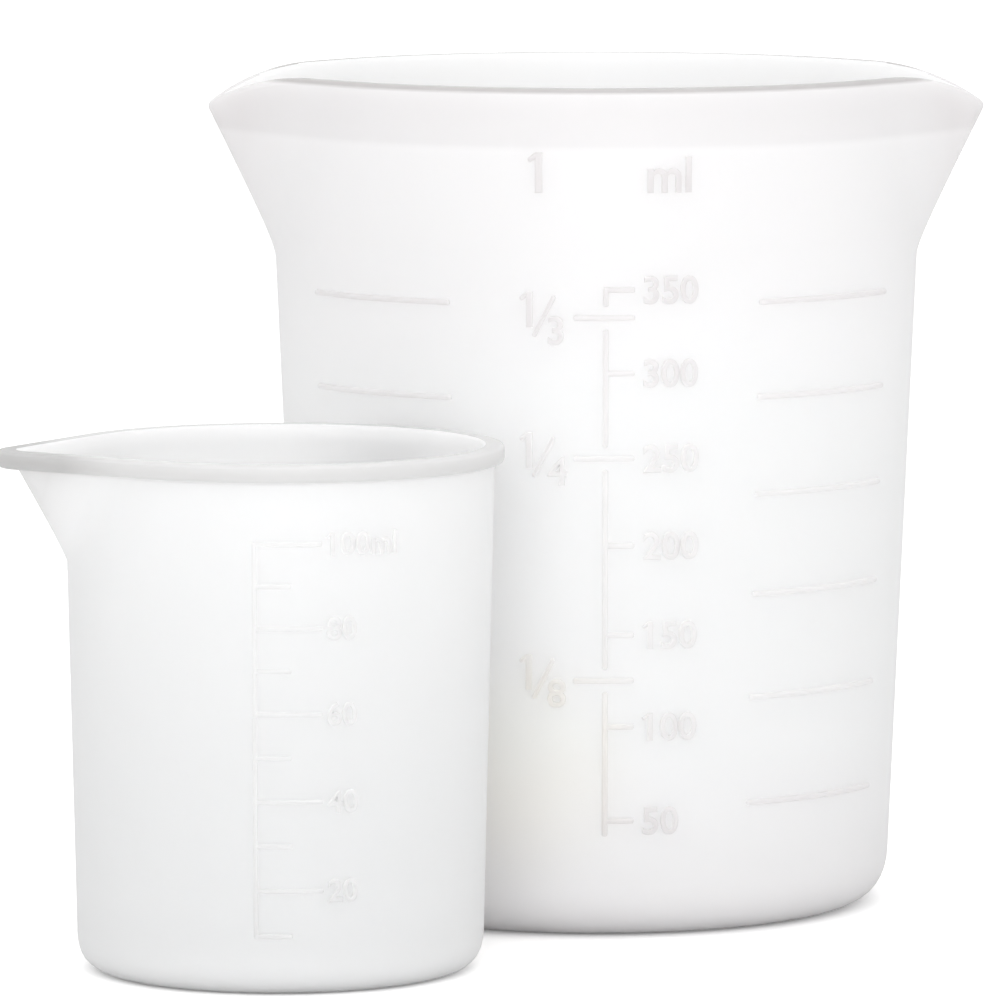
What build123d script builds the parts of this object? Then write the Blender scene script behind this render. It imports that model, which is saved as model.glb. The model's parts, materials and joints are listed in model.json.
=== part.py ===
from build123d import *
import math
import os

# A set of two mixing cups for casting resin, each moulded in one piece from frosted silicone.
# The large cup stands on the origin. Its two spouts point along X and its scale faces -Y.
# The small cup has one spout. It stands by itself in front of the large one, to its left.
# Lengths are in millimetres and angles in degrees.

# Large cup. The flare is how much wider its rim is than its base, and a spout's length is how far
# it stands out past the round of the rim.
large_height = 108.5
large_base_radius = 37.9
large_flare = 4.85
large_wall = 2.5
large_floor = 3.0
large_corner = 7.0
large_rim_bevel = 0.45
large_spout_drop = 24.5
large_spout_length = 7.85
large_nose_radius = 6.0
large_droop = 4.4
large_droop_length = 13.6
large_spout_bearings = [0, 180]

# Small cup
small_height = 65.5
small_base_radius = 25.2
small_flare = 1.5
small_wall = 1.5
small_floor = 2.0
small_corner = 4.6
small_spout_drop = 15.5
small_spout_length = 7.5
small_nose_radius = 4.5
small_bead_height = 2.2
small_bead_width = 1.2
small_bead_bevel = 0.5
small_spout_bearings = [180]

# Place of the small cup: its bearing from straight in front of the large cup, its turn about its
# own axis, and the clearance that it keeps from the large rim when it is lifted straight up
small_bearing = 35
small_turn = 12
lift_clearance = 0.75

# Raised scale of the large cup, with its bars of thirds and quarters and its marks at both sides
large_top_mark = 83.15
large_line_width = 0.75
large_relief = 0.4
large_tick_length = 3.7
large_bar_reach = 4.1
large_line_gap = 1.4
large_line_tail = 2.0
large_side_bearing = 28
large_side_length = 24.0
large_scale_bearing = 270

# Raised scale of the small cup
small_top_mark = 55.79
small_line_width = 0.6
small_relief = 0.3
small_long_tick = 8.3
small_short_tick = 4.5
small_scale_bearing = 251.5

# Marks as shares of the volume at the top mark, which is 350 ml on the large cup and 100 ml on the
# small one. The bars are an eighth, a quarter and a third of a litre, and a side mark is 56.8 ml.
large_tick_shares = [mark / 350 for mark in (50, 100, 150, 200, 300, 350)]
large_bar_shares = [mark / 350 for mark in (125, 250, 333)]
large_side_shares = [56.8 * count / 350 for count in range(1, 7)]
small_long_shares = [mark / 100 for mark in (20, 40, 60, 80, 100)]
small_short_shares = [mark / 100 for mark in (10, 30, 50, 70, 90)]

# How far a cut runs past a face, how deep a raised mark and a spout are rooted in the wall, and
# how far a spout stands out where it starts
overrun = 5.0
mark_root = 0.3
spout_root = 0.4
spout_start = 0.02

# How many steps widen a spout, round its nose and bend the corner under the wall
spout_steps = 3
nose_steps = 6
corner_steps = 2


def polar(radius, angle):
    """Point at a distance from the axis, in a direction around it."""
    return radius * math.cos(math.radians(angle)), radius * math.sin(math.radians(angle))


def upright(angle):
    """Plane through the axis, with its own X pointing outward in a direction."""
    return Plane.XZ.rotated((0, 0, angle))


def wall_radius(z, height, base_radius, rim_radius):
    """Outer radius of a straight tapered wall at a height."""
    return base_radius + (rim_radius - base_radius) * z / height


def spout_plan(z, spout, circle_radius, nose_radius, reach, sunk):
    """Plan of a spout at one height: a nose of short sides, and tangents that run into the wall."""
    nose_place = reach - nose_radius
    lean = math.degrees(math.acos((circle_radius - nose_radius) / nose_place))
    centre = Vector(*polar(nose_place - sunk, spout))
    bearings = [spout + lean * (2 * step / nose_steps - 1) for step in range(nose_steps + 1)]
    with BuildSketch(Plane.XY.offset(z)) as plan:
        with BuildLine():
            Polyline(
                polar(circle_radius - spout_root, spout - lean),
                *[centre + Vector(*polar(nose_radius, bearing)) for bearing in bearings],
                polar(circle_radius - spout_root, spout + lean),
                close=True,
            )
        make_face()
    return plan.sketch


def cup_form(inset, floor, height, base_radius, rim_radius, corner, spouts, drop, reach, nose):
    """Solid inside a cup's outer faces or, inset by the wall, the hollow inside the cup."""
    foot = height - drop
    corner_size = corner - inset
    corner_top = floor + corner_size
    floor_radius = wall_radius(floor, height, base_radius, rim_radius) - inset
    corner_radius = wall_radius(corner_top, height, base_radius, rim_radius) - inset
    foot_radius = wall_radius(foot, height, base_radius, rim_radius) - inset
    with BuildLine():
        bend = Bezier(
            (floor_radius - corner_size, floor),
            (floor_radius, floor),
            (corner_radius, corner_top),
        )
    profile = [bend @ (step / corner_steps) for step in range(corner_steps + 1)]
    profile += [(rim_radius - inset, height), (0, height), (0, floor)]
    with BuildPart() as form:
        with BuildSketch(Plane.XZ):
            with BuildLine():
                Polyline(*profile, close=True)
            make_face()
        revolve(axis=Axis.Z)
        for spout in spouts:
            plans = []
            for step in range(spout_steps + 1):
                rise = (step / spout_steps) ** 2
                z = foot + drop * rise
                circle_radius = wall_radius(z, height, base_radius, rim_radius) - inset
                tip = foot_radius + spout_start + (reach - inset - foot_radius - spout_start) * rise
                sunk = spout_root * (1 - rise)
                plans.append(spout_plan(z, spout, circle_radius, nose - inset, tip, sunk))
            loft(plans, ruled=True)
    return form.part


def fill_height(share, top, floor, wall, height, base_radius, rim_radius):
    """Height at which a cup holds a share of what it holds at its top mark."""

    def held(z):
        low = wall_radius(floor, height, base_radius, rim_radius) - wall
        high = wall_radius(z, height, base_radius, rim_radius) - wall
        return (z - floor) * (low * low + low * high + high * high)

    below = floor
    above = top
    for _ in range(40):
        middle = (below + above) / 2
        if held(middle) < share * held(top):
            below = middle
        else:
            above = middle
    return above


def level_mark(z, bearing, before, after, width, relief, height, base_radius, rim_radius):
    """Raised bar along the wall at one height, from a length before its bearing to one after it."""
    bottom = z - width / 2
    top = z + width / 2
    bottom_radius = wall_radius(bottom, height, base_radius, rim_radius)
    top_radius = wall_radius(top, height, base_radius, rim_radius)
    start = bearing - math.degrees(before / bottom_radius)
    turn = math.degrees((before + after) / bottom_radius)
    with BuildPart() as mark:
        with BuildSketch(upright(start)):
            with BuildLine():
                Polyline(
                    (bottom_radius - mark_root, bottom),
                    (bottom_radius + relief, bottom),
                    (top_radius + relief, top),
                    (top_radius - mark_root, top),
                    close=True,
                )
            make_face()
        revolve(axis=Axis.Z, revolution_arc=turn)
    return mark.part


def rising_mark(bottom, top, bearing, width, relief, height, base_radius, rim_radius):
    """Raised line up the wall between two heights."""
    bottom_radius = wall_radius(bottom, height, base_radius, rim_radius)
    top_radius = wall_radius(top, height, base_radius, rim_radius)
    with BuildPart() as mark:
        with BuildSketch(upright(bearing)):
            with BuildLine():
                Polyline(
                    (bottom_radius - mark_root, bottom),
                    (bottom_radius + relief, bottom),
                    (top_radius + relief, top),
                    (top_radius - mark_root, top),
                    close=True,
                )
            make_face()
        extrude(amount=width / 2, both=True)
    return mark.part


def large_level(share):
    """Height of a share of the top mark on the large cup's scale."""
    sizes = (large_top_mark, large_floor, large_wall, large_height, large_base_radius, large_rim_radius)
    return fill_height(share, *sizes)


def small_level(share):
    """Height of a share of the top mark on the small cup's scale."""
    sizes = (small_top_mark, small_floor, small_wall, small_height, small_base_radius, small_rim_radius)
    return fill_height(share, *sizes)


def large_mark(share, bearing, before, after):
    """One level mark of the large cup."""
    wall = (large_height, large_base_radius, large_rim_radius)
    return level_mark(large_level(share), bearing, before, after, large_line_width, large_relief, *wall)


def small_mark(share, length):
    """One level mark of the small cup."""
    lengths = (small_line_width / 2, length, small_line_width, small_relief)
    wall = (small_height, small_base_radius, small_rim_radius)
    return level_mark(small_level(share), small_scale_bearing, *lengths, *wall)


def rim_edges(cup, lowest):
    """Edges round a cup's rim: those that lie on just one of its upward faces."""
    upward = [face for face in cup.faces() if face.center().Z > lowest and face.normal_at().Z > 0.5]
    edges = [edge for face in upward for edge in face.edges()]
    return [edge for edge in edges if sum(edge.is_same(other) for other in edges) == 1]


# Radius of each rim and reach of each spout's tip, from the axis
large_rim_radius = large_base_radius + large_flare
large_spout_reach = large_rim_radius + large_spout_length
small_rim_radius = small_base_radius + small_flare
small_spout_reach = small_rim_radius + small_spout_length

# Droop of the rim towards each spout: an arc that leaves the flat rim level and passes the tip
droop_radius = (large_droop_length**2 + large_droop**2) / (2 * large_droop)
droop_start = large_spout_reach - large_droop_length
droop_end = large_spout_reach + overrun
droop_depth = droop_radius - math.sqrt(droop_radius**2 - (droop_end - droop_start) ** 2)

# Reach of the large spout in the plane of the flat rim, before the droop trims it
large_foot = large_height - large_spout_drop
large_foot_radius = wall_radius(large_foot, large_height, large_base_radius, large_rim_radius)
large_widening = (large_spout_reach - large_foot_radius) / (large_spout_drop - large_droop)
large_full_reach = large_foot_radius + large_widening * large_spout_drop

# Large cup: tapered wall with two spouts, hollow, with a rim that droops towards them
large_sizes = (large_height, large_base_radius, large_rim_radius, large_corner)
large_pouring = (large_spout_bearings, large_spout_drop, large_full_reach, large_nose_radius)
with BuildPart() as large_cup:
    add(cup_form(0, 0, *large_sizes, *large_pouring))
    add(cup_form(large_wall, large_floor, *large_sizes, *large_pouring), mode=Mode.SUBTRACT)
    with BuildSketch(Plane.XZ):
        with BuildLine():
            droop_edge = RadiusArc(
                (droop_start, large_height),
                (droop_end, large_height - droop_depth),
                droop_radius,
            )
            Polyline(
                droop_edge @ 1,
                (droop_end, large_height + overrun),
                (droop_start, large_height + overrun),
                droop_edge @ 0,
            )
        make_face()
        mirror(about=Plane.YZ)
    extrude(amount=large_rim_radius, both=True, mode=Mode.SUBTRACT)
    chamfer(rim_edges(large_cup, large_height - large_droop), large_rim_bevel)

    # Raised scale: a rising line broken at the bars, level ticks beside it and marks at both sides
    tick_start = large_line_width / 2
    for share in large_tick_shares:
        add(large_mark(share, large_scale_bearing, tick_start, large_tick_length))
    for share in large_bar_shares:
        add(large_mark(share, large_scale_bearing, large_bar_reach, large_tick_length))
    for share in large_side_shares:
        add(large_mark(share, large_scale_bearing + large_side_bearing, 0, large_side_length))
        add(large_mark(share, large_scale_bearing - large_side_bearing, large_side_length, 0))
    line_breaks = [large_level(share) for share in large_bar_shares]
    line_bottoms = [large_level(large_tick_shares[0]) - large_line_tail]
    line_bottoms += [level + large_line_gap for level in line_breaks]
    line_tops = [level - large_line_gap for level in line_breaks]
    line_tops += [large_top_mark + large_line_width / 2]
    wall = (large_height, large_base_radius, large_rim_radius)
    for bottom, top in zip(line_bottoms, line_tops):
        add(rising_mark(bottom, top, large_scale_bearing, large_line_width, large_relief, *wall))

# Small cup: one spout, a bead round the rim and a raised scale
small_distance = large_rim_radius + small_rim_radius + small_bead_width + lift_clearance
small_axis = polar(-small_distance, 90 - small_bearing)
small_place = Plane((*small_axis, 0), x_dir=(*polar(1, small_turn), 0), z_dir=(0, 0, 1))
small_sizes = (small_height, small_base_radius, small_rim_radius, small_corner)
small_pouring = (small_spout_bearings, small_spout_drop, small_spout_reach, small_nose_radius)
with BuildPart() as bead:
    bead_bottom = small_height - small_bead_height
    bead_sizes = (
        small_rim_radius + small_bead_width,
        small_nose_radius + small_bead_width,
        small_spout_reach + small_bead_width,
    )
    with BuildSketch(Plane.XY.offset(bead_bottom)):
        Circle(small_rim_radius + small_bead_width)
        for spout in small_spout_bearings:
            add(spout_plan(bead_bottom, spout, *bead_sizes, 0))
    extrude(amount=small_bead_height)
    chamfer(bead.edges().group_by(Axis.Z)[0] + bead.edges().group_by(Axis.Z)[-1], small_bead_bevel)
with BuildPart(small_place) as small_cup:
    add(cup_form(0, 0, *small_sizes, *small_pouring))
    add(bead.part)
    add(cup_form(small_wall, small_floor, *small_sizes, *small_pouring), mode=Mode.SUBTRACT)
    for share in small_long_shares:
        add(small_mark(share, small_long_tick))
    for share in small_short_shares:
        add(small_mark(share, small_short_tick))
    line_bottom = small_level(small_short_shares[0]) - small_line_width / 2
    line_top = small_top_mark + small_line_width / 2
    wall = (small_height, small_base_radius, small_rim_radius)
    add(rising_mark(line_bottom, line_top, small_scale_bearing, small_line_width, small_relief, *wall))

# What each cup holds up to its top mark, worked out on the solid of its hollow
for name, top_mark, wall, floor, sizes, pouring in (
    ("large_cup", large_top_mark, large_wall, large_floor, large_sizes, large_pouring),
    ("small_cup", small_top_mark, small_wall, small_floor, small_sizes, small_pouring),
):
    with BuildPart() as filling:
        add(cup_form(wall, floor, *sizes, *pouring))
        brimful = filling.part.volume
        split(bisect_by=Plane.XY.offset(top_mark), keep=Keep.BOTTOM)
    print(name, "holds in ml, to its top mark and brimful:", filling.part.volume / 1000, brimful / 1000)

os.makedirs("parts", exist_ok=True)
for cup, name in ((large_cup, "large_cup"), (small_cup, "small_cup")):
    cup.part.label = name
    export_step(cup.part, "parts/" + name + ".step")
    print(name, cup.part.is_valid, len(cup.part.solids()), cup.part.bounding_box())
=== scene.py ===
# %% [markdown]
# A set of two mixing cups for casting resin, each moulded in one piece from frosted silicone. The
# large cup has two pouring spouts and a raised scale up to 350 ml. The small one has a single
# spout, a bead round its rim and a scale up to 100 ml. Each cup is one body of the model, so the
# small one can be lifted away. The model of the frame is loaded first. It says where the cups
# stand. Nothing made here may stand outside it.

# %% Load the frame
import bisect
import json
import math

import bmesh
import bpy
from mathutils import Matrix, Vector


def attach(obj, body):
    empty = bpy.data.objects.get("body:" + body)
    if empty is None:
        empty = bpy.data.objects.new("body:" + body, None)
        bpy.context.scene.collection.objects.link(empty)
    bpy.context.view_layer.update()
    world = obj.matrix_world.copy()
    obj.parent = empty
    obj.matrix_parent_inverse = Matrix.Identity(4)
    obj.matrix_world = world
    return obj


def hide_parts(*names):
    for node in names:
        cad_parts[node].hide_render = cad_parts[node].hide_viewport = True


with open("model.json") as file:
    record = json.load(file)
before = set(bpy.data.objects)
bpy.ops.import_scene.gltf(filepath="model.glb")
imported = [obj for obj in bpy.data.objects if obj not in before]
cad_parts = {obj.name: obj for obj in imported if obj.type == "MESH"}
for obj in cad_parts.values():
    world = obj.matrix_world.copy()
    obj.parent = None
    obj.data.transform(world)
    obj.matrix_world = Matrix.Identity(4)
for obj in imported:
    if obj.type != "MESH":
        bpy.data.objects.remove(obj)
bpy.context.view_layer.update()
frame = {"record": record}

MM = 0.001

# %% [markdown]
# Most tools in Blender work on what is selected, and the loaded model arrives selected. So three
# small helpers come first. One clears the selection and one makes an object the active one. The
# third applies an object's move and turn to its points, so that its origin lies at zero.

# %% Helpers for selecting
def deselect_all():
    if bpy.context.object and bpy.context.object.mode == "EDIT":
        bpy.ops.object.mode_set(mode="OBJECT")
    bpy.ops.object.select_all(action="DESELECT")


def work_on(piece):
    deselect_all()
    piece.select_set(True)
    bpy.context.view_layer.objects.active = piece
    return piece


def bring_to_origin(piece):
    work_on(piece)
    bpy.ops.object.transform_apply(location=True, rotation=True, scale=True)
    return piece


deselect_all()
print("nothing is selected")

# %% [markdown]
# The sizes of the two cups, in millimetres. A cup is a tapered wall on a rounded base, and every
# spout is a small rounded nose that grows out of the wall and is joined to it by two tangents.
# The place of the small cup is read from the frame: its axis is where its base is centred.

# %% Sizes of the cups
LARGE = {
    "height": 108.5, "base": 37.9, "rim": 42.74, "wall": 2.5, "floor": 3.0, "corner": 7.0,
    "spout_drop": 24.5, "reach": 50.57, "nose": 6.0, "droop": 4.4, "droop_start": 37.0,
    "spouts": [0, 180], "rim_edge": 0.8, "soften": 0.12, "bead": None,
}
SMALL = {
    "height": 65.5, "base": 25.2, "rim": 26.7, "wall": 1.5, "floor": 2.0, "corner": 4.6,
    "spout_drop": 15.5, "reach": 34.19, "nose": 4.5, "droop": 0.0, "droop_start": 26.0,
    "spouts": [180], "rim_edge": 0.5, "soften": 0.12, "bead": {"height": 2.2, "width": 1.19},
}
SMALL_TURN = 12
small_mount = [m for m in frame["record"]["mounts"] if m["name"] == "small_cup_base"][0]
SMALL_AXIS = Vector(small_mount["pos_m"])
print("small cup stands at", SMALL_AXIS[:])

# %% [markdown]
# One function gives the plan of a cup: its radius in any direction, at one height. On the round
# part it is the circle, at a spout it is the nose, and between them it is the tangent of both.

# %% Plan of a cup
SPOUT_START = 0.02
RIM_TRIES = 30


def wall_radius(cup, height):
    return cup["base"] + (cup["rim"] - cup["base"]) * height / cup["height"]


def spout_reach(cup, height):
    foot = cup["height"] - cup["spout_drop"]
    foot_radius = wall_radius(cup, foot)
    rise = max(0.0, (height - foot) / (cup["spout_drop"] - cup["droop"]))
    eased = rise * rise * (1 + cup["soften"]) / (rise + cup["soften"])
    start = foot_radius + SPOUT_START
    return start + (cup["reach"] - start) * eased


def plan_radius(cup, angle, height, inset):
    circle = wall_radius(cup, height) - inset
    if height <= cup["height"] - cup["spout_drop"]:
        return circle
    turn = min(abs((angle - spout + 180) % 360 - 180) for spout in cup["spouts"])
    turn = math.radians(turn)
    nose = cup["nose"] - inset
    place = spout_reach(cup, height) - inset - nose
    lean = math.acos(min(1.0, (circle - nose) / place))
    if turn >= lean:
        return circle
    edge = math.atan2(nose * math.sin(lean), place + nose * math.cos(lean))
    if turn <= edge:
        return place * math.cos(turn) + math.sqrt(nose**2 - (place * math.sin(turn)) ** 2)
    return circle / math.cos(lean - turn)


def rim_height(cup, x):
    """The flat rim bends down in an arc towards a drooping spout."""
    past = abs(x) - cup["droop_start"]
    if cup["droop"] == 0 or past <= 0:
        return cup["height"]
    length = cup["reach"] - cup["droop_start"]
    bend = (length**2 + cup["droop"] ** 2) / (2 * cup["droop"])
    return cup["height"] - bend + math.sqrt(bend**2 - past**2)


def below_rim(cup, angle, inset, depth):
    """Radius and height of a point of the rim in one direction, at a depth under the rim."""
    height = cup["height"]
    for _ in range(RIM_TRIES):
        radius = plan_radius(cup, angle, height, inset)
        height = rim_height(cup, radius * math.cos(math.radians(angle))) - depth
    return radius, height


print("spout of the large cup reaches", round(below_rim(LARGE, 0, 0, 0)[0], 2), "mm")

# %% [markdown]
# The directions in which a cup has its points. They are spread evenly along the rim, but a nose
# gets more of them, because its bend is tight.

# %% Directions round a cup
ROUND_STEPS = 1440
NOSE_WEIGHT = 4.0
NOSE_SPREAD = 6
LARGE_COUNT, SMALL_COUNT = 320, 288


def directions(cup, count):
    weights = []
    for step in range(ROUND_STEPS):
        angle = 360 * (step + 0.5) / ROUND_STEPS
        turn = min(abs((angle - spout + 180) % 360 - 180) for spout in cup["spouts"])
        weights.append(1 + NOSE_WEIGHT * math.exp(-((turn / NOSE_SPREAD) ** 2)))
    total = sum(weights)
    angles = []
    run = 0.0
    for step, weight in enumerate(weights):
        while len(angles) < count and run + weight >= total * len(angles) / count:
            share = (total * len(angles) / count - run) / weight
            angles.append(360 * (step + share) / ROUND_STEPS)
        run += weight
    return angles


print("directions of the large cup", len(directions(LARGE, LARGE_COUNT)))

# %% [markdown]
# A cup could be turned with the spin tool, but its spouts aren't round. So a circle is laid under
# the base and drawn up ring by ring with the extrude tool: up the outside, over the rim, down the
# inside and in to the middle of the floor. Each new ring is then set on its own plan.

# %% Kinds of rings
CROWDING = 1.4


def corner_ring(cup, share, inset, floor):
    """A point of the rounded corner between the base or floor and the wall."""
    size = cup["corner"] - inset
    low = wall_radius(cup, floor) - inset
    top = floor + size
    high = wall_radius(cup, top) - inset
    radius = (1 - share) ** 2 * (low - size) + 2 * share * (1 - share) * low + share**2 * high
    height = floor + share**2 * size
    return lambda angle: (radius, height)


def wall_ring(cup, share, inset):
    """A point of the wall between the corner and the foot of the spouts."""
    low = (cup["floor"] if inset else 0) + cup["corner"] - inset
    high = cup["height"] - cup["spout_drop"]
    height = low + (high - low) * share
    radius = wall_radius(cup, height) - inset
    return lambda angle: (radius, height)


def spout_ring(cup, share, inset, top):
    """A point of the wall beside the spouts, up to a depth under the rim."""
    foot = cup["height"] - cup["spout_drop"]

    def ring(angle):
        end = below_rim(cup, angle, inset, top)[1]
        height = foot + (end - foot) * share
        return plan_radius(cup, angle, height, inset), height

    return ring


def rim_ring(cup, inset, depth):
    return lambda angle: below_rim(cup, angle, inset, depth)


def bead_ring(cup, inset, depth):
    """A point of the bead, which stands upright round the rim."""
    return lambda angle: (
        plan_radius(cup, angle, cup["height"], inset),
        cup["height"] - depth,
    )


def spout_rings(cup, steps, total, inset, top):
    """Rings beside the spouts, closer together at the foot, where the wall begins to bend."""
    return [spout_ring(cup, (step / total) ** CROWDING, inset, top) for step in steps]


print("corner of the large cup ends at", corner_ring(LARGE, 1, 0, 0)(0))

# %% [markdown]
# The rings are listed in the order in which they are drawn: corner, wall, spouts, bead and rim on
# the outside, then the same downwards on the inside. The edges of the rim are quarter circles.

# %% Rings of a cup, from the base up, over the rim and down to the floor
CORNER_STEPS, WALL_STEPS, SPOUT_STEPS, BEAD_SPOUT_STEPS = 10, 14, 18, 16
QUARTER_STEPS = 6


def cup_rings(cup):
    edge = cup["rim_edge"]
    quarter = [math.pi / 2 * step / QUARTER_STEPS for step in range(QUARTER_STEPS + 1)]
    rings = [corner_ring(cup, step / CORNER_STEPS, 0, 0) for step in range(CORNER_STEPS + 1)]
    rings += [wall_ring(cup, step / WALL_STEPS, 0) for step in range(1, WALL_STEPS + 1)]
    if cup["bead"]:
        over = bead_ring
        deep = cup["bead"]["height"]
        outer = -cup["bead"]["width"]
        rings += spout_rings(cup, range(1, BEAD_SPOUT_STEPS + 1), BEAD_SPOUT_STEPS, 0, deep)
        rings += [bead_ring(cup, share * (outer + edge), deep) for share in (0.5, 1)]
        for a in quarter[1:]:
            inset = outer + edge - edge * math.sin(a)
            rings.append(bead_ring(cup, inset, deep - edge + edge * math.cos(a)))
        rings.append(bead_ring(cup, outer, deep / 2))
    else:
        over = rim_ring
        outer = 0
        rings += spout_rings(cup, range(1, SPOUT_STEPS + 1), SPOUT_STEPS, 0, edge)
    for a in quarter[0 if cup["bead"] else 1 :]:
        rings.append(over(cup, outer + edge - edge * math.cos(a), edge - edge * math.sin(a)))
    inner = cup["wall"]
    for a in quarter:
        rings.append(over(cup, inner - edge + edge * math.sin(a), edge - edge * math.cos(a)))
    rings += spout_rings(cup, range(SPOUT_STEPS - 1, -1, -1), SPOUT_STEPS, inner, edge)
    rings += [wall_ring(cup, step / WALL_STEPS, inner) for step in range(WALL_STEPS - 1, -1, -1)]
    for step in range(CORNER_STEPS - 1, -1, -1):
        rings.append(corner_ring(cup, step / CORNER_STEPS, inner, cup["floor"]))
    return rings


print("rings of the large cup", len(cup_rings(LARGE)), "of the small one", len(cup_rings(SMALL)))

# %% [markdown]
# Only the newest ring is selected after each extrusion, so it can be moved without touching the
# rest. Every point keeps its own direction and only takes a new radius and height. The last ring
# is closed with a face, and the normals are turned outwards.

# %% Draw a cup up from its base circle
SHARP = 35


def place_ring(mesh, ring, angles):
    """Sets the selected points on their places, each in the direction it already has."""
    for vert in mesh.verts:
        if vert.select:
            now = math.degrees(math.atan2(vert.co.y, vert.co.x)) % 360
            spot = bisect.bisect(angles, now)
            near = [angles[spot - 1], angles[spot % len(angles)]]
            angle = min(near, key=lambda a: abs((a - now + 180) % 360 - 180))
            radius, height = ring(angle)
            turn = math.radians(angle)
            vert.co = Vector((radius * math.cos(turn), radius * math.sin(turn), height)) * MM


def draw_cup(name, cup, count):
    angles = directions(cup, count)
    rings = cup_rings(cup)
    deselect_all()
    start = (cup["base"] - cup["corner"]) * MM
    bpy.ops.mesh.primitive_circle_add(vertices=count, radius=start, fill_type="NGON")
    piece = bpy.context.object
    piece.name = name
    for vert, angle in zip(piece.data.vertices, angles):
        turn = math.radians(angle)
        vert.co = Vector((start * math.cos(turn), start * math.sin(turn), 0))
    bpy.ops.object.mode_set(mode="EDIT")
    bpy.ops.mesh.select_mode(type="EDGE")
    bpy.ops.mesh.select_all(action="SELECT")
    for ring in rings[1:]:
        bpy.ops.mesh.extrude_edges_move()
        mesh = bmesh.from_edit_mesh(piece.data)
        place_ring(mesh, ring, angles)
        bmesh.update_edit_mesh(piece.data)
    bpy.ops.mesh.edge_face_add()
    bpy.ops.mesh.select_all(action="SELECT")
    bpy.ops.mesh.normals_make_consistent(inside=False)
    bpy.ops.object.mode_set(mode="OBJECT")
    bpy.ops.object.shade_smooth_by_angle(angle=math.radians(SHARP))
    return piece


large_cup = draw_cup("large_cup_silicone", LARGE, LARGE_COUNT)
small_cup = draw_cup("small_cup_silicone", SMALL, SMALL_COUNT)
print("large cup", len(large_cup.data.polygons), "faces, small cup", len(small_cup.data.polygons))

# %% [markdown]
# The scale is cut into the mould, so on the cup it stands out as low ribs. Where two ribs cross,
# one is a hair lower, so their tops don't lie in the same plane. A rib is modelled flat: a strip
# of faces is laid down, extruded to its height and bevelled round. It is then bent round the wall
# by moving each of its points from the flat drawing to its place on the tapered wall.

# %% Ribs, and the way from a flat drawing to the wall
ROOT = 0.4
RIB_EDGE, RIB_ROUNDS, RIB_SHARP = 0.4, 3, 40
RIB_STEP, LEAST_PARTS = 1.5, 2
STEP = 0.02


def lay_on_wall(piece, cup, bearing):
    """Flat x runs round the wall, flat y runs up it and flat z stands out of it."""
    for vert in piece.data.vertices:
        along, up, out = vert.co / MM
        radius = wall_radius(cup, up)
        turn = math.radians(bearing) + along / radius
        radius += out
        vert.co = Vector((radius * math.cos(turn), radius * math.sin(turn), up)) * MM
    return piece


def make_rib(name, centre, size, relief, parts):
    """A low rounded rib, drawn flat: size is along and up, parts is how often it can bend."""
    deselect_all()
    bpy.ops.mesh.primitive_grid_add(x_subdivisions=parts, y_subdivisions=1, size=1)
    piece = bpy.context.object
    piece.name = name
    piece.scale = (size[0] * MM, size[1] * MM, 1)
    piece.location = (centre[0] * MM, centre[1] * MM, -ROOT * MM)
    bpy.ops.object.transform_apply(location=True, rotation=True, scale=True)
    bpy.ops.object.mode_set(mode="EDIT")
    bpy.ops.mesh.select_all(action="SELECT")
    rise = (0, 0, (ROOT + relief) * MM)
    bpy.ops.mesh.extrude_region_move(TRANSFORM_OT_translate={"value": rise})
    bpy.ops.mesh.select_all(action="SELECT")
    bpy.ops.mesh.normals_make_consistent(inside=False)
    bpy.ops.object.mode_set(mode="OBJECT")
    rounding = piece.modifiers.new("rounding", "BEVEL")
    rounding.width = RIB_EDGE * min(size[1], size[0], 2 * relief) * MM
    rounding.segments = RIB_ROUNDS
    rounding.limit_method = "ANGLE"
    bpy.ops.object.modifier_apply(modifier="rounding")
    bpy.ops.object.shade_smooth_by_angle(angle=math.radians(RIB_SHARP))
    return piece


def join(name, pieces):
    deselect_all()
    for piece in pieces:
        piece.select_set(True)
    bpy.context.view_layer.objects.active = pieces[0]
    if len(pieces) > 1:
        bpy.ops.object.join()
    joined = bpy.context.object
    joined.name = name
    return joined


print("a rib is rooted", ROOT, "mm in the wall")

# %% [markdown]
# The marks stand where the cup holds what they say. A tapered hollow holds the volume of a
# frustum. That can't be turned round easily, so the height of each mark is found by halving.

# %% Heights of the marks
HALVINGS = 40
LARGE_FULL, LARGE_TOP, LARGE_SCALE = 350, 83.15, 270
SMALL_FULL, SMALL_TOP, SMALL_SCALE = 100, 55.79, 251.5


def fill_height(cup, top_mark, share):
    def held(height):
        low = wall_radius(cup, cup["floor"]) - cup["wall"]
        high = wall_radius(cup, height) - cup["wall"]
        return (height - cup["floor"]) * (low**2 + low * high + high**2)

    below, above = cup["floor"], top_mark
    for _ in range(HALVINGS):
        middle = (below + above) / 2
        if held(middle) < share * held(top_mark):
            below = middle
        else:
            above = middle
    return above


def large_level(millilitres):
    return fill_height(LARGE, LARGE_TOP, millilitres / LARGE_FULL)


def small_level(millilitres):
    return fill_height(SMALL, SMALL_TOP, millilitres / SMALL_FULL)


print("100 ml stands at", round(large_level(100), 2), "mm on the large cup")

# %% [markdown]
# The large scale has a tick for each 50 ml and longer bars at a third, a quarter and an eighth of
# a litre. Its upright line has gaps at the bars. On either side of it are six plain marks, two
# fluid ounces apart.

# %% Ribs of the large scale
LINE = 0.75
RELIEF = 0.38
TICK = 3.7
BAR_REACH = 4.1
GAP = 1.4
TAIL = 2.0
TICK_MARKS = (50, 100, 150, 200, 300, 350)
BAR_MARKS = {"third": 333, "quarter": 250, "eighth": 125}
TWO_OUNCES = 56.8
SIDE_MARKS = 6
SIDE_BEARING, SIDE_LENGTH = 28, 24.0


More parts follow.
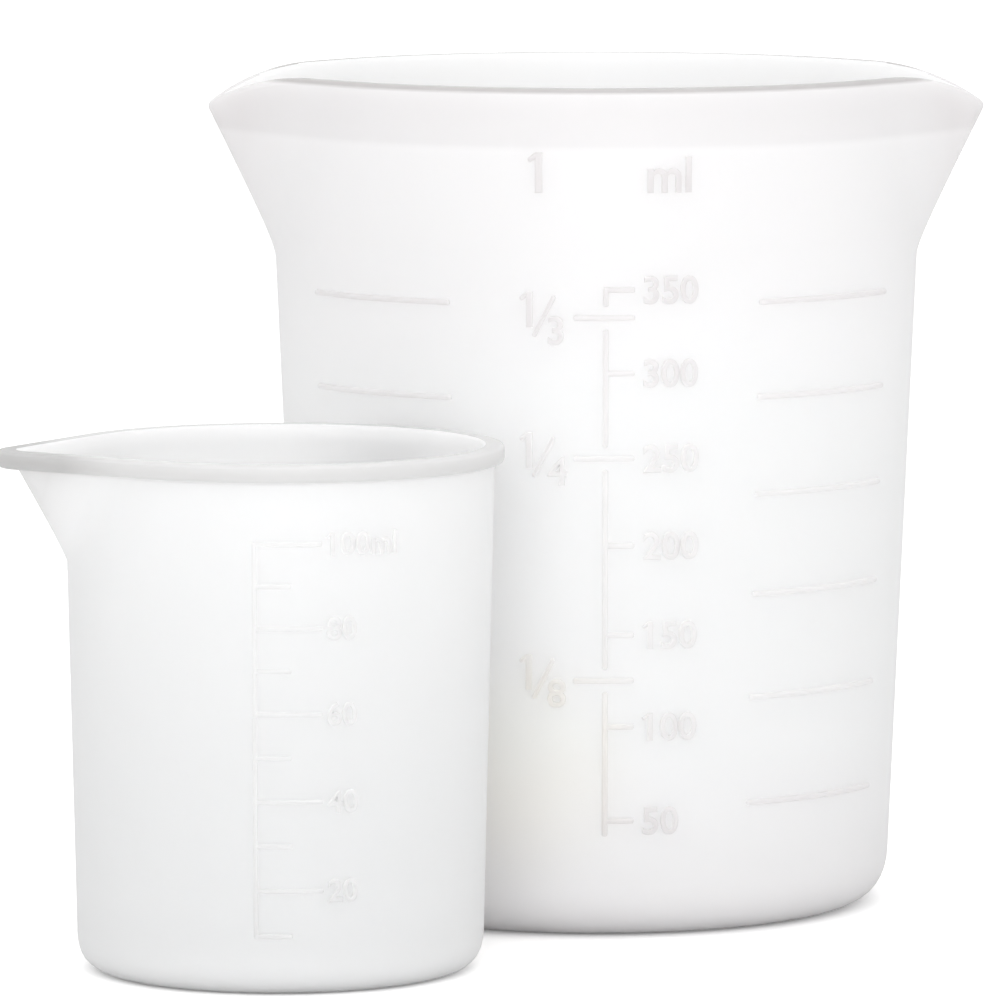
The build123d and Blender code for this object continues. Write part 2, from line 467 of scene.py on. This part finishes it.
def level_rib(name, cup, bearing, height, start, end, width, relief):
    parts = max(LEAST_PARTS, round((end - start) / RIB_STEP))
    rib = make_rib(name, ((start + end) / 2, height), (end - start, width), relief, parts)
    return lay_on_wall(rib, cup, bearing)


def rising_rib(name, cup, bearing, low, high, width, relief):
    size = (width, high - low)
    rib = make_rib(name, (0, (low + high) / 2), size, relief, LEAST_PARTS)
    return lay_on_wall(rib, cup, bearing)


large_ticks = [
    level_rib("tick", LARGE, LARGE_SCALE, large_level(mark), 0, TICK, LINE, RELIEF - STEP)
    for mark in TICK_MARKS
]
large_ticks = join("large_cup_ticks", large_ticks)
large_bars = [
    level_rib("bar", LARGE, LARGE_SCALE, large_level(mark), -BAR_REACH, TICK, LINE, RELIEF)
    for mark in BAR_MARKS.values()
]
large_bars = join("large_cup_bars", large_bars)
breaks = sorted(large_level(mark) for mark in BAR_MARKS.values())
bottoms = [large_level(TICK_MARKS[0]) - TAIL] + [level + GAP for level in breaks]
tops = [level - GAP for level in breaks] + [LARGE_TOP + LINE / 2]
large_line = [
    rising_rib("line", LARGE, LARGE_SCALE, low, high, LINE, RELIEF)
    for low, high in zip(bottoms, tops)
]
large_line = join("large_cup_scale_line", large_line)
sides = []
for side, name in ((1, "right"), (-1, "left")):
    ends = sorted((0, side * SIDE_LENGTH))
    bearing = LARGE_SCALE + side * SIDE_BEARING
    ribs = [
        level_rib("side", LARGE, bearing, large_level(TWO_OUNCES * count), *ends, LINE, RELIEF)
        for count in range(1, SIDE_MARKS + 1)
    ]
    sides.append(join("large_cup_side_marks_" + name, ribs))
print("ribs of the large scale are in", 3 + len(sides), "pieces")

# %% [markdown]
# The small scale has a long tick for each 20 ml and a short one between them. Its ribs are finer,
# because its wall is thinner too.

# %% Ribs of the small scale
SMALL_LINE = 0.6
SMALL_RELIEF = 0.28
LONG_TICK, SHORT_TICK = 8.3, 4.5
EVERY, LONG_EVERY = 10, 20
small_ticks = []
for mark in range(EVERY, SMALL_FULL + 1, EVERY):
    length = SHORT_TICK if mark % LONG_EVERY else LONG_TICK
    low = SMALL_RELIEF - STEP
    rib = level_rib("tick", SMALL, SMALL_SCALE, small_level(mark), 0, length, SMALL_LINE, low)
    small_ticks.append(rib)
small_ticks = join("small_cup_ticks", small_ticks)
small_line = rising_rib(
    "small_cup_scale_line", SMALL, SMALL_SCALE, small_level(EVERY) - SMALL_LINE / 2,
    SMALL_TOP + SMALL_LINE / 2, SMALL_LINE, SMALL_RELIEF,
)
print("small scale has", len(small_ticks.data.polygons), "faces of ticks")

# %% [markdown]
# Numbers and letters could be drawn stroke by stroke, but a text object already has clean
# outlines. It is extruded, given a round bevel, turned into a mesh and scaled to the height of
# the real figures. Then it is bent round the wall like the ribs.

# %% Numbers and letters
FLAG_LENGTH, FLAG_WIDTH, FLAG_SLOPE = 0.3, 0.13, 38
FLAG_SHIFT, FLAG_LEVEL, FLAG_ROOM = 0.13, 0.87, 0.19
FIGURE_SHARE = 0.7
TEXT_EDGE, TEXT_ROUNDS = 0.14, 2
TEXT_WEIGHT, TEXT_CURVE = -0.03, 6
FIGURE = 3.4
FIGURE_LEFT = 4.75
NUMBERS = (50, 100, 150, 200, 250, 300, 350)


def make_stroke(name, size, slope, place, relief, parts):
    """A rib that is turned by its slope and moved to its place, still flat."""
    stroke = make_rib(name, (0, 0), size, relief - STEP, parts)
    stroke.rotation_euler.z = math.radians(slope)
    stroke.location = (place[0] * MM, place[1] * MM, 0)
    return bring_to_origin(stroke)


def make_flag(left, base, tall, relief):
    """The short slanted stroke at the head of a 1, which the built-in font leaves out."""
    place = (left + FLAG_SHIFT * tall, base + FLAG_LEVEL * tall)
    size = (FLAG_LENGTH * tall, FLAG_WIDTH * tall)
    return make_stroke("flag", size, FLAG_SLOPE, place, relief, LEAST_PARTS)


def make_text(words, left, base, tall, relief):
    """Raised text drawn flat. left and base are its lower left corner, tall the height of a 1."""
    deselect_all()
    bpy.ops.object.text_add()
    piece = bpy.context.object
    piece.data.body = words
    piece.data.size = tall / FIGURE_SHARE * MM
    piece.data.extrude = (relief - TEXT_EDGE) * MM
    piece.data.bevel_depth = TEXT_EDGE * MM
    piece.data.bevel_resolution = TEXT_ROUNDS
    piece.data.offset = TEXT_WEIGHT * MM
    piece.data.resolution_u = TEXT_CURVE
    bpy.ops.object.convert(target="MESH")
    low = min(vert.co.x for vert in piece.data.vertices)
    for vert in piece.data.vertices:
        vert.co.x += left * MM - low
        vert.co.y += base * MM
    return piece


def write_on(cup, bearing, words, left, base, tall, relief):
    """Lays words on the wall. They end up in letters, and the flag of a 1 in strokes."""
    room = 0
    if words.startswith("1"):
        room = FLAG_ROOM * tall
        strokes.append(lay_on_wall(make_flag(left, base, tall, relief), cup, bearing))
    text = make_text(words, left + room, base, tall, relief)
    letters.append(lay_on_wall(text, cup, bearing))


letters, strokes = [], []
for mark in NUMBERS:
    base = large_level(mark) - FIGURE / 2
    write_on(LARGE, LARGE_SCALE, str(mark), FIGURE_LEFT, base, FIGURE, RELIEF)
print("numbers of the large scale", len(letters))

# %% [markdown]
# A fraction is a raised 1, a slash and a lower figure. The slash is a rib that is turned before
# it is laid on the wall. The letters of a cup are then joined, and so are its slanted strokes.

# %% Fractions, and the words at the top of the large scale
SLASH_SIZE, SLASH_SLOPE, SLASH_PARTS = (5.8, 0.6), 63, 4
SLASH_PLACE, SLASH_RISE = -7.8, 0.2
UPPER_LEFT, UPPER_DROP, UPPER_TALL = -10.9, 1.1, 4.4
LOWER_LEFT, LOWER_DROP, LOWER_TALL = -7.3, 3.3, 3.5
LOWER_FIGURES = {"third": "3", "quarter": "4", "eighth": "8"}
HEADER = 95.5
ONE_LEFT, ONE_TALL = -9.9, 5.0
UNIT_LEFT, UNIT_TALL = 5.2, 4.4
for name, mark in BAR_MARKS.items():
    level = large_level(mark)
    write_on(LARGE, LARGE_SCALE, "1", UPPER_LEFT, level - UPPER_DROP, UPPER_TALL, RELIEF)
    under = LOWER_FIGURES[name]
    write_on(LARGE, LARGE_SCALE, under, LOWER_LEFT, level - LOWER_DROP, LOWER_TALL, RELIEF)
    place = (SLASH_PLACE, level + SLASH_RISE)
    slash = make_stroke("slash", SLASH_SIZE, SLASH_SLOPE, place, RELIEF, SLASH_PARTS)
    strokes.append(lay_on_wall(slash, LARGE, LARGE_SCALE))
write_on(LARGE, LARGE_SCALE, "1", ONE_LEFT, HEADER, ONE_TALL, RELIEF)
write_on(LARGE, LARGE_SCALE, "ml", UNIT_LEFT, HEADER, UNIT_TALL, RELIEF)
large_letters = join("large_cup_letters", letters)
large_strokes = join("large_cup_strokes", strokes)
print("letters and strokes of the large cup", len(letters), len(strokes))

# %% [markdown]
# The small cup has a number at each long tick, and the unit follows the topmost one. The same
# helpers write them, only smaller and flatter.

# %% Numbers of the small scale
SMALL_FIGURE = 2.7
SMALL_LEFT = 8.8
letters, strokes = [], []
for mark in range(LONG_EVERY, SMALL_FULL + 1, LONG_EVERY):
    words = f"{mark}ml" if mark == SMALL_FULL else str(mark)
    base = small_level(mark) - SMALL_FIGURE / 2
    write_on(SMALL, SMALL_SCALE, words, SMALL_LEFT, base, SMALL_FIGURE, SMALL_RELIEF)
small_letters = join("small_cup_letters", letters)
small_strokes = join("small_cup_strokes", strokes)
print("letters have", len(large_letters.data.polygons), len(small_letters.data.polygons), "faces")

# %% [markdown]
# All pieces of the small cup were made round the origin, which keeps the sums short. They are now
# turned and moved together, and the move is applied, so that each object's origin stays at zero.

# %% Put the small cup in its place
small_marks = [small_line, small_ticks, small_letters, small_strokes]
for piece in [small_cup] + small_marks:
    piece.rotation_euler.z = math.radians(SMALL_TURN)
    piece.location = SMALL_AXIS
    bring_to_origin(piece)
large_marks = [large_line, large_ticks, large_bars, large_letters, large_strokes] + sides
print("small cup stands in", [round(v / MM, 1) for v in small_cup.bound_box[0]])

# %% [markdown]
# Both cups are platinum-cured silicone rubber, moulded in one piece from a pale translucent grade.
# The steel mould was blasted with fine grit, which gives the frosted skin. So a cup shows no sharp
# reflections, and light that enters the rubber spreads and comes out again somewhere near. The
# large cup is a little warmer and milkier, the small one clearer and more neutral.
# Two helpers come first: one turns a colour from the screen into Blender's linear numbers, and
# the other adds a node with its settings, values and links.

# %% Helpers for colours and nodes
def linear(hex_colour):
    """An sRGB hex colour as the linear numbers that Blender's sockets take."""
    parts = [int(hex_colour[i : i + 2], 16) / 255 for i in (1, 3, 5)]
    return [c / 12.92 if c <= 0.04045 else ((c + 0.055) / 1.055) ** 2.4 for c in parts] + [1]


def add_node(material, kind, settings=None, values=None, links=None):
    node = material.node_tree.nodes.new(kind)
    for name, value in (settings or {}).items():
        setattr(node, name, value)
    for name, value in (values or {}).items():
        node.inputs[name].default_value = value
    for name, output in (links or {}).items():
        material.node_tree.links.new(output, node.inputs[name])
    return node


def new_material(name):
    material = bpy.data.materials.new(name)
    material.use_nodes = True
    material.node_tree.nodes.clear()
    return material


def finish_material(material, shader):
    end = add_node(material, "ShaderNodeOutputMaterial")
    material.node_tree.links.new(shader.outputs[0], end.inputs["Surface"])
    return material


print("white is", linear("#FFFFFF"), "in linear numbers")

# %% [markdown]
# Subsurface scattering gives the soft milky depth, and a little transmission lets the far wall
# shine through. The grain of the frost is a noise of a third of a millimetre, used as a bump.

# %% Silicone and its frost
FROST_GRAIN, FROST_DEPTH, FROST_STRENGTH = 0.35, 0.02, 0.15
SCATTER = 0.009
SCATTER_SPREAD = (1, 0.97, 0.95)
TRANSMISSION = 0.12
ROUGH = 0.45
SILICONE_IOR = 1.41


def frost(material, spot):
    grain = add_node(
        material, "ShaderNodeTexNoise", None,
        {"Scale": 1 / (FROST_GRAIN * MM), "Detail": 2}, {"Vector": spot},
    )
    return add_node(
        material, "ShaderNodeBump", None,
        {"Strength": FROST_STRENGTH, "Distance": FROST_DEPTH * MM},
        {"Height": grain.outputs["Fac"]},
    )


def silicone_shader(material, spot, values, links):
    shader = add_node(
        material, "ShaderNodeBsdfPrincipled", None,
        {"Roughness": ROUGH, "IOR": SILICONE_IOR, "Subsurface Weight": 1.0,
         "Subsurface Scale": SCATTER, "Subsurface Radius": SCATTER_SPREAD,
         "Transmission Weight": TRANSMISSION, **values},
        {"Normal": frost(material, spot).outputs["Normal"], **links},
    )
    return finish_material(material, shader)


def plain_silicone(name, colour):
    material = new_material(name)
    spot = add_node(material, "ShaderNodeTexCoord").outputs["Object"]
    return silicone_shader(material, spot, {"Base Color": linear(colour)}, {})


print("silicone scatters light over", SCATTER / MM, "mm")

# %% [markdown]
# The colour of a cup carries painted shade, which changes over its wall. So the colour has to
# know where a point is: nodes measure its height, and how far it stands out from the round wall.
# That is nothing on the wall itself and a few millimetres on a spout.

# %% Where a point is on its cup
def distance_out(material, place, cup):
    """How far a point stands out from the round wall, and its height, both in metres."""
    parts = add_node(material, "ShaderNodeSeparateXYZ", None, None, {"Vector": place})
    flat = add_node(
        material, "ShaderNodeVectorMath", {"operation": "MULTIPLY"}, {1: (1, 1, 0)}, {0: place}
    )
    radius = add_node(
        material, "ShaderNodeVectorMath", {"operation": "LENGTH"}, None, {0: flat.outputs[0]}
    )
    wall = add_node(
        material, "ShaderNodeMapRange", None,
        {"From Max": cup["height"] * MM, "To Min": cup["base"] * MM, "To Max": cup["rim"] * MM},
        {"Value": parts.outputs["Z"]},
    )
    out = add_node(
        material, "ShaderNodeMath", {"operation": "SUBTRACT"}, None,
        {0: radius.outputs["Value"], 1: wall.outputs[0]},
    )
    return out.outputs[0], parts.outputs["Z"]


print("the round wall of the large cup goes from", LARGE["base"], "to", LARGE["rim"], "mm")

# %% [markdown]
# Shade is painted into the colour. A colour ramp holds the tones by height: painted shade darkens
# the base and the rim, and on the large cup also the upper wall, with a dark painted line along
# the rim of the large cup and over the bead of the small one. A mix darkens the spouts with
# painted shade, as they are seen nearly edge on. A faint cream patch is low on the large cup.

# %% Tones and painted shade of a cup
SPOUT_BEGINS = 0.4
CREAM = "#FFFBEE"
CREAM_PLACE = (-11.0, -37.8, 24.0)
CREAM_SHARE, CREAM_CORE, CREAM_EDGE = 0.7, 5, 20


def tone_by_height(material, height, tones):
    """The tones are pairs of a height in millimetres and the colour with painted shade there."""
    top = tones[-1][0]
    share = add_node(
        material, "ShaderNodeMath", {"operation": "DIVIDE"}, {1: top * MM}, {0: height}
    )
    ramp = add_node(material, "ShaderNodeValToRGB", None, None, {"Fac": share.outputs[0]})
    elements = ramp.color_ramp.elements
    for index, (level, colour) in enumerate(tones):
        element = elements[index] if index < 2 else elements.new(level / top)
        element.position = level / top
        element.color = linear(colour)
    return ramp.outputs["Color"]


def tone_of_spouts(material, out, cup, colour, spout_shade):
    """Multiplies painted shade into the colour where the wall runs out into a spout."""
    share = add_node(
        material, "ShaderNodeMapRange", None,
        {"From Min": SPOUT_BEGINS * MM, "From Max": (cup["reach"] - cup["rim"]) / 2 * MM},
        {"Value": out},
    )
    spouts = add_node(
        material, "ShaderNodeMixRGB", {"blend_type": "MULTIPLY"},
        {"Color2": linear(spout_shade)}, {"Fac": share.outputs[0], "Color1": colour},
    )
    return spouts.outputs[0]


def cream_patch(material, place, colour):
    away = add_node(
        material, "ShaderNodeVectorMath", {"operation": "DISTANCE"},
        {1: [v * MM for v in CREAM_PLACE]}, {0: place},
    )
    share = add_node(
        material, "ShaderNodeMapRange", {"interpolation_type": "SMOOTHSTEP"},
        {"From Min": CREAM_CORE * MM, "From Max": CREAM_EDGE * MM,
         "To Min": CREAM_SHARE, "To Max": 0.0},
        {"Value": away.outputs["Value"]},
    )
    blend = add_node(
        material, "ShaderNodeMixRGB", {"blend_type": "MULTIPLY"}, {"Color2": linear(CREAM)},
        {"Fac": share.outputs[0], "Color1": colour},
    )
    return blend.outputs[0]


print("the cream patch is centred", CREAM_PLACE[2], "mm up")

# %% [markdown]
# Each cup gets one material for its body and one for its marks. The marks are the same rubber,
# but their colour carries a painted shade, a little darker, as they are thicker than the wall. One
# plain material serves the inside of both cups, which stays white.

# %% Silicone of the two cups
def frosted_silicone(name, cup, axis, tones, spout_shade, shade, patch):
    material = new_material(name)
    spot = add_node(material, "ShaderNodeTexCoord").outputs["Object"]
    place = add_node(
        material, "ShaderNodeVectorMath", {"operation": "SUBTRACT"}, {1: axis}, {0: spot}
    ).outputs[0]
    out, height = distance_out(material, place, cup)
    colour = tone_by_height(material, height, tones)
    colour = tone_of_spouts(material, out, cup, colour, spout_shade)
    if patch:
        colour = cream_patch(material, place, colour)
    # Painted shade of the marks, multiplied in; white leaves the body as it is.
    colour = add_node(
        material, "ShaderNodeMixRGB", {"blend_type": "MULTIPLY"},
        {"Fac": 1.0, "Color2": linear(shade)}, {"Color1": colour},
    ).outputs[0]
    return silicone_shader(material, spot, {}, {"Base Color": colour})


# Painted shade by height: darker towards the base and at the rim, on the large cup also over the
# upper wall, with a dark painted line on the rim of the large cup and on the bead of the small
# one.
LARGE_TONES_WITH_PAINTED_SHADE = (
    (0, "#DEDCDD"), (7, "#E8E6E7"), (16, "#F2F0F1"), (30, "#FCFBFB"), (60, "#FEFDFD"),
    (75, "#F5F3F4"), (88, "#ECEAEB"), (100.6, "#EAE8E9"), (101.4, "#DFDDDE"),
    (107.8, "#DBD9DA"), (108.0, "#A8A6A6"), (108.5, "#A8A6A6"),
)
SMALL_TONES_WITH_PAINTED_SHADE = (
    (0, "#EAEAEA"), (10, "#F6F6F6"), (20, "#FEFEFE"), (62.9, "#FEFEFE"), (63.4, "#C8C8C8"),
    (65.5, "#C8C8C8"),
)
# Painted shade on the spouts, strongest on the thin spout of the small cup.
LARGE_SPOUT_SHADE, SMALL_SPOUT_SHADE = "#F6F5F5", "#D6D6D6"
# The marks get a painted shade, the bodies none.
NO_PAINTED_SHADE, MARK_PAINTED_SHADE = "#FFFFFF", "#ECEAEA"
INSIDE = "#FEFEFE"
LARGE_SILICONE = frosted_silicone(
    "frosted_silicone", LARGE, (0, 0, 0), LARGE_TONES_WITH_PAINTED_SHADE, LARGE_SPOUT_SHADE, NO_PAINTED_SHADE, True
)
LARGE_MARKS = frosted_silicone(
    "frosted_silicone_relief", LARGE, (0, 0, 0), LARGE_TONES_WITH_PAINTED_SHADE, LARGE_SPOUT_SHADE, MARK_PAINTED_SHADE, True
)
SMALL_SILICONE = frosted_silicone(
    "clear_frosted_silicone", SMALL, SMALL_AXIS, SMALL_TONES_WITH_PAINTED_SHADE, SMALL_SPOUT_SHADE, NO_PAINTED_SHADE, False
)
SMALL_MARKS = frosted_silicone(
    "clear_frosted_silicone_relief", SMALL, SMALL_AXIS, SMALL_TONES_WITH_PAINTED_SHADE, SMALL_SPOUT_SHADE, MARK_PAINTED_SHADE, False
)
INSIDE_SILICONE = plain_silicone("frosted_silicone_inside", INSIDE)
print("silicones", LARGE_SILICONE.name, SMALL_SILICONE.name, INSIDE_SILICONE.name)

# %% [markdown]
# Up to here the marks are separate and only stand rooted in the wall. A boolean union makes each
# of them one body with its cup, as the mould does, so light can spread from the wall into a mark.
# Blender's manifold solver needs closed pieces, so the seams of the letters are merged first.

# %% Make the marks one body with their cup
WELD = 0.002
OUTER_SLOT, MARK_SLOT, INNER_SLOT = 0, 1, 2


def fuse(cup_piece, marks, materials):
    """materials are those of the outside, the marks and the inside, in this order."""
    for piece in [cup_piece] + marks:
        piece.data.materials.clear()
        for material in materials:
            piece.data.materials.append(material)
    for mark in marks:
        work_on(mark)
        bpy.ops.object.mode_set(mode="EDIT")
        bpy.ops.mesh.select_all(action="SELECT")
        bpy.ops.mesh.remove_doubles(threshold=WELD * MM)
        bpy.ops.mesh.normals_make_consistent(inside=False)
        bpy.ops.object.mode_set(mode="OBJECT")
        for face in mark.data.polygons:
            face.material_index = MARK_SLOT
        work_on(cup_piece)
        fusing = cup_piece.modifiers.new("fusing", "BOOLEAN")
        fusing.operation = "UNION"
        fusing.solver = "MANIFOLD"
        fusing.object = mark
        bpy.ops.object.modifier_apply(modifier="fusing")
        bpy.data.objects.remove(mark)
    bpy.ops.object.mode_set(mode="EDIT")
    bpy.ops.mesh.select_all(action="SELECT")
    bpy.ops.mesh.dissolve_degenerate(threshold=WELD * MM)
    bpy.ops.object.mode_set(mode="OBJECT")
    bpy.ops.object.shade_smooth_by_angle(angle=math.radians(SHARP))
    print(cup_piece.name, "has", len(cup_piece.data.polygons), "faces with its marks")


fuse(large_cup, large_marks, (LARGE_SILICONE, LARGE_MARKS, INSIDE_SILICONE))
fuse(small_cup, small_marks, (SMALL_SILICONE, SMALL_MARKS, INSIDE_SILICONE))

# %% [markdown]
# The union leaves long faces round the letters, which would shade unevenly, so the wall gets its
# exact normals back. On a cone they follow from the taper. The faces that look inwards then take
# the material of the inside.

# %% Exact normals and the inside
FACING = 0.3
NEARLY_EXACT = 0.98
ON_WALL = 0.03


def smooth_wall(cup_piece, cup, axis):
    """Sets the normals of the tapered wall, but leaves those of the marks and the spouts."""
    mesh = cup_piece.data
    slope = (cup["rim"] - cup["base"]) / cup["height"]
    normals = [Vector(corner.vector) for corner in mesh.corner_normals]
    for face in mesh.polygons:
        place = face.center - axis
        exact = Vector((place.x, place.y, -slope * math.hypot(place.x, place.y))).normalized()
        if face.material_index == OUTER_SLOT and face.normal.dot(exact) > NEARLY_EXACT:
            for corner in face.loop_indices:
                spot = mesh.vertices[mesh.loops[corner].vertex_index].co - axis
                radius = math.hypot(spot.x, spot.y)
                if abs(radius - wall_radius(cup, spot.z / MM) * MM) < ON_WALL * MM:
                    normals[corner] = Vector((spot.x, spot.y, -slope * radius)).normalized()
    mesh.normals_split_custom_set(normals)


def line_inside(cup_piece, cup, axis):
    """Gives the inside material to the faces that look at the axis, and to the floor."""
    for face in cup_piece.data.polygons:
        place = face.center - axis
        away = Vector((place.x, place.y, 0)).normalized()
        low = place.z < (cup["floor"] + cup["corner"]) * MM and face.normal.z > FACING
        if face.material_index == OUTER_SLOT and (low or face.normal.dot(away) < -FACING):
            face.material_index = INNER_SLOT


for piece, cup, axis in ((large_cup, LARGE, Vector((0, 0, 0))), (small_cup, SMALL, SMALL_AXIS)):
    smooth_wall(piece, cup, axis)
    line_inside(piece, cup, axis)
    lining = [face for face in piece.data.polygons if face.material_index == INNER_SLOT]
    print(piece.name, "has", len(lining), "faces inside")

# %% Say what each cup stands for
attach(large_cup, "large_cup")
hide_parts("large_cup")
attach(small_cup, "small_cup")
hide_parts("small_cup")
print("bodies are", large_cup.name, "and", small_cup.name)

# %% [markdown]
# The cups stand on white paper under a white sky. The camera sees the paper a little brighter than
# it is, so only the shadows show on it, and its bounce is held back, or the spouts would glow
# from below. A large soft lamp stands in front and a weaker one hangs over the cups.

# %% Floor and sky
SKY_STRENGTH = 1.0
FLOOR_SIZE = 6
FLOOR_LIFT = 0.2
FLOOR_BOUNCE = "#E4E4E4"


def paper(name):
    """White paper that the camera sees a little brighter, so that only the shadow shows on it."""
    material = new_material(name)
    path = add_node(material, "ShaderNodeLightPath")
    tone = add_node(
        material, "ShaderNodeMixRGB", None,
        {"Color1": linear(FLOOR_BOUNCE), "Color2": linear("#FFFFFF")},
        {"Fac": path.outputs["Is Camera Ray"]},
    )
    plain = add_node(
        material, "ShaderNodeBsdfDiffuse", None, None, {"Color": tone.outputs[0]}
    )
    lift = add_node(
        material, "ShaderNodeMath", {"operation": "MULTIPLY"}, {1: FLOOR_LIFT},
        {0: path.outputs["Is Camera Ray"]},
    )
    glow = add_node(material, "ShaderNodeEmission", None, None, {"Strength": lift.outputs[0]})
    both = add_node(
        material, "ShaderNodeAddShader", None, None, {0: plain.outputs[0], 1: glow.outputs[0]}
    )
    return finish_material(material, both)


def studio_world(name):
    """Plain white light from all sides."""
    world = bpy.data.worlds.new(name)
    world.use_nodes = True
    world.node_tree.nodes.clear()
    white = {"Color": linear("#FFFFFF"), "Strength": SKY_STRENGTH}
    sky = add_node(world, "ShaderNodeBackground", None, white)
    add_node(world, "ShaderNodeOutputWorld", None, None, {"Surface": sky.outputs[0]})
    return world


deselect_all()
bpy.ops.mesh.primitive_plane_add(size=FLOOR_SIZE)
floor = bpy.context.object
floor.name = "floor"
floor.data.materials.append(paper("white_paper"))
bpy.context.scene.world = studio_world("studio")
print("floor and sky are white")

# %% [markdown]
# An area lamp shines along its own -Z axis, so it is turned until that axis points at its aim.

# %% Lamps
def area_lamp(name, place, aim, size, power):
    bpy.ops.object.light_add(type="AREA", location=place)
    lamp = bpy.context.object
    lamp.name = name
    lamp.data.shape = "RECTANGLE"
    lamp.data.size, lamp.data.size_y = size
    lamp.data.energy = power
    lamp.rotation_euler = (Vector(aim) - Vector(place)).to_track_quat("-Z", "Y").to_euler()
    return lamp


KEY_POWER, KEY_PLACE, KEY_AIM = 5.0, (0, -1.0, 0.3), (0, 0, 0.05)
TOP_POWER, TOP_PLACE, TOP_AIM = 1.4, (0, 0.1, 1.2), (0, 0, 0)
SOFTBOX = (0.8, 0.8)
area_lamp("front_softbox", KEY_PLACE, KEY_AIM, SOFTBOX, KEY_POWER)
area_lamp("overhead_softbox", TOP_PLACE, TOP_AIM, SOFTBOX, TOP_POWER)
print("lamps", KEY_POWER, TOP_POWER, "watts")

# %% [markdown]
# The camera stands well back with a long lens, just above the rim of the large cup, so both rims
# show as thin ellipses and the two cups keep nearly the same scale.

# %% Camera
CAMERA_DISTANCE = 1200
CAMERA_TURN = -1.7
CAMERA_HEIGHT = 177
LENS = 333
CLIP_END = 10
AIM_SIDE, AIM_HEIGHT = -12.5, 52.3
turn = math.radians(CAMERA_TURN)
bpy.ops.object.camera_add()
camera = bpy.context.object
camera.data.lens = LENS
camera.data.clip_end = CLIP_END
side, back = CAMERA_DISTANCE * math.sin(turn), CAMERA_DISTANCE * math.cos(turn)
camera.location = Vector((side, -back, CAMERA_HEIGHT)) * MM
aim = Vector((AIM_SIDE * math.cos(turn), AIM_SIDE * math.sin(turn), AIM_HEIGHT)) * MM
camera.rotation_euler = (aim - camera.location).to_track_quat("-Z", "Y").to_euler()
bpy.context.scene.camera = camera
bpy.context.scene.view_settings.view_transform = "Standard"
print("camera stands", CAMERA_DISTANCE, "mm away")
